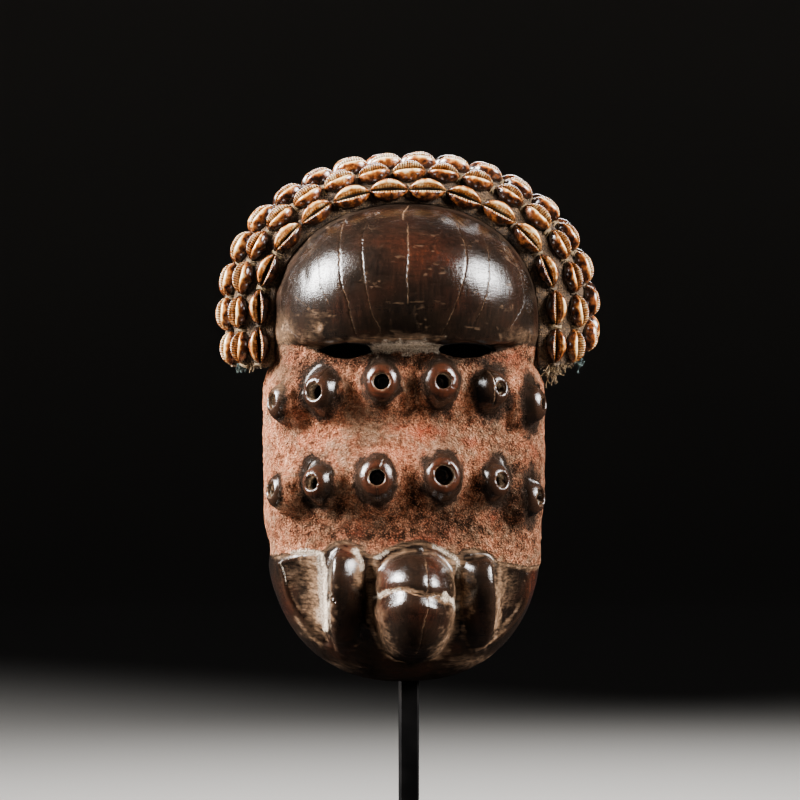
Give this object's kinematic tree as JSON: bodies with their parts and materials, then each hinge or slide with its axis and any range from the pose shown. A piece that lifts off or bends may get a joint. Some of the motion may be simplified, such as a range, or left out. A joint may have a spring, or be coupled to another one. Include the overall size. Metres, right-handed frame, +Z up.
{
  "type": "carved face mask with cowrie headdress on a stand",
  "caption": "Hollow carved wooden face mask with domed forehead, slit eyes, rows of bored stubs and a muzzle, under a cowrie-sewn cloth headdress, on a steel post and base plate.",
  "frame": {"origin": "centre of the base plate's underside, on the surface the stand rests on", "axes": "+Z up along the post, -Y the way the face looks, +X to the right of someone facing it"},
  "size_m": [0.2385, 0.15, 0.4338],
  "materials": {
    "patinated_wood": "dark oiled patina on bare wood, with a crusty red earth pigment on the cheeks and pale dust in the grooves",
    "coarse_cloth": "coarse undyed cloth, grey-brown with dust, frayed at the hem",
    "cowrie_shell": "polished shell, cream on the backs and worn brown-orange at the sides",
    "blackened_steel": "satin black paint on steel"
  },
  "bodies": {
    "root": {"wood_mask": "patinated_wood", "cloth_headdress": "coarse_cloth", "cowrie_row_1": "cowrie_shell", "cowrie_row_2": "cowrie_shell", "cowrie_row_3": "cowrie_shell", "cowrie_row_4": "cowrie_shell", "cowrie_row_5": "cowrie_shell", "stand_post": "blackened_steel", "stand_base": "blackened_steel"}
  },
  "joints": []
}
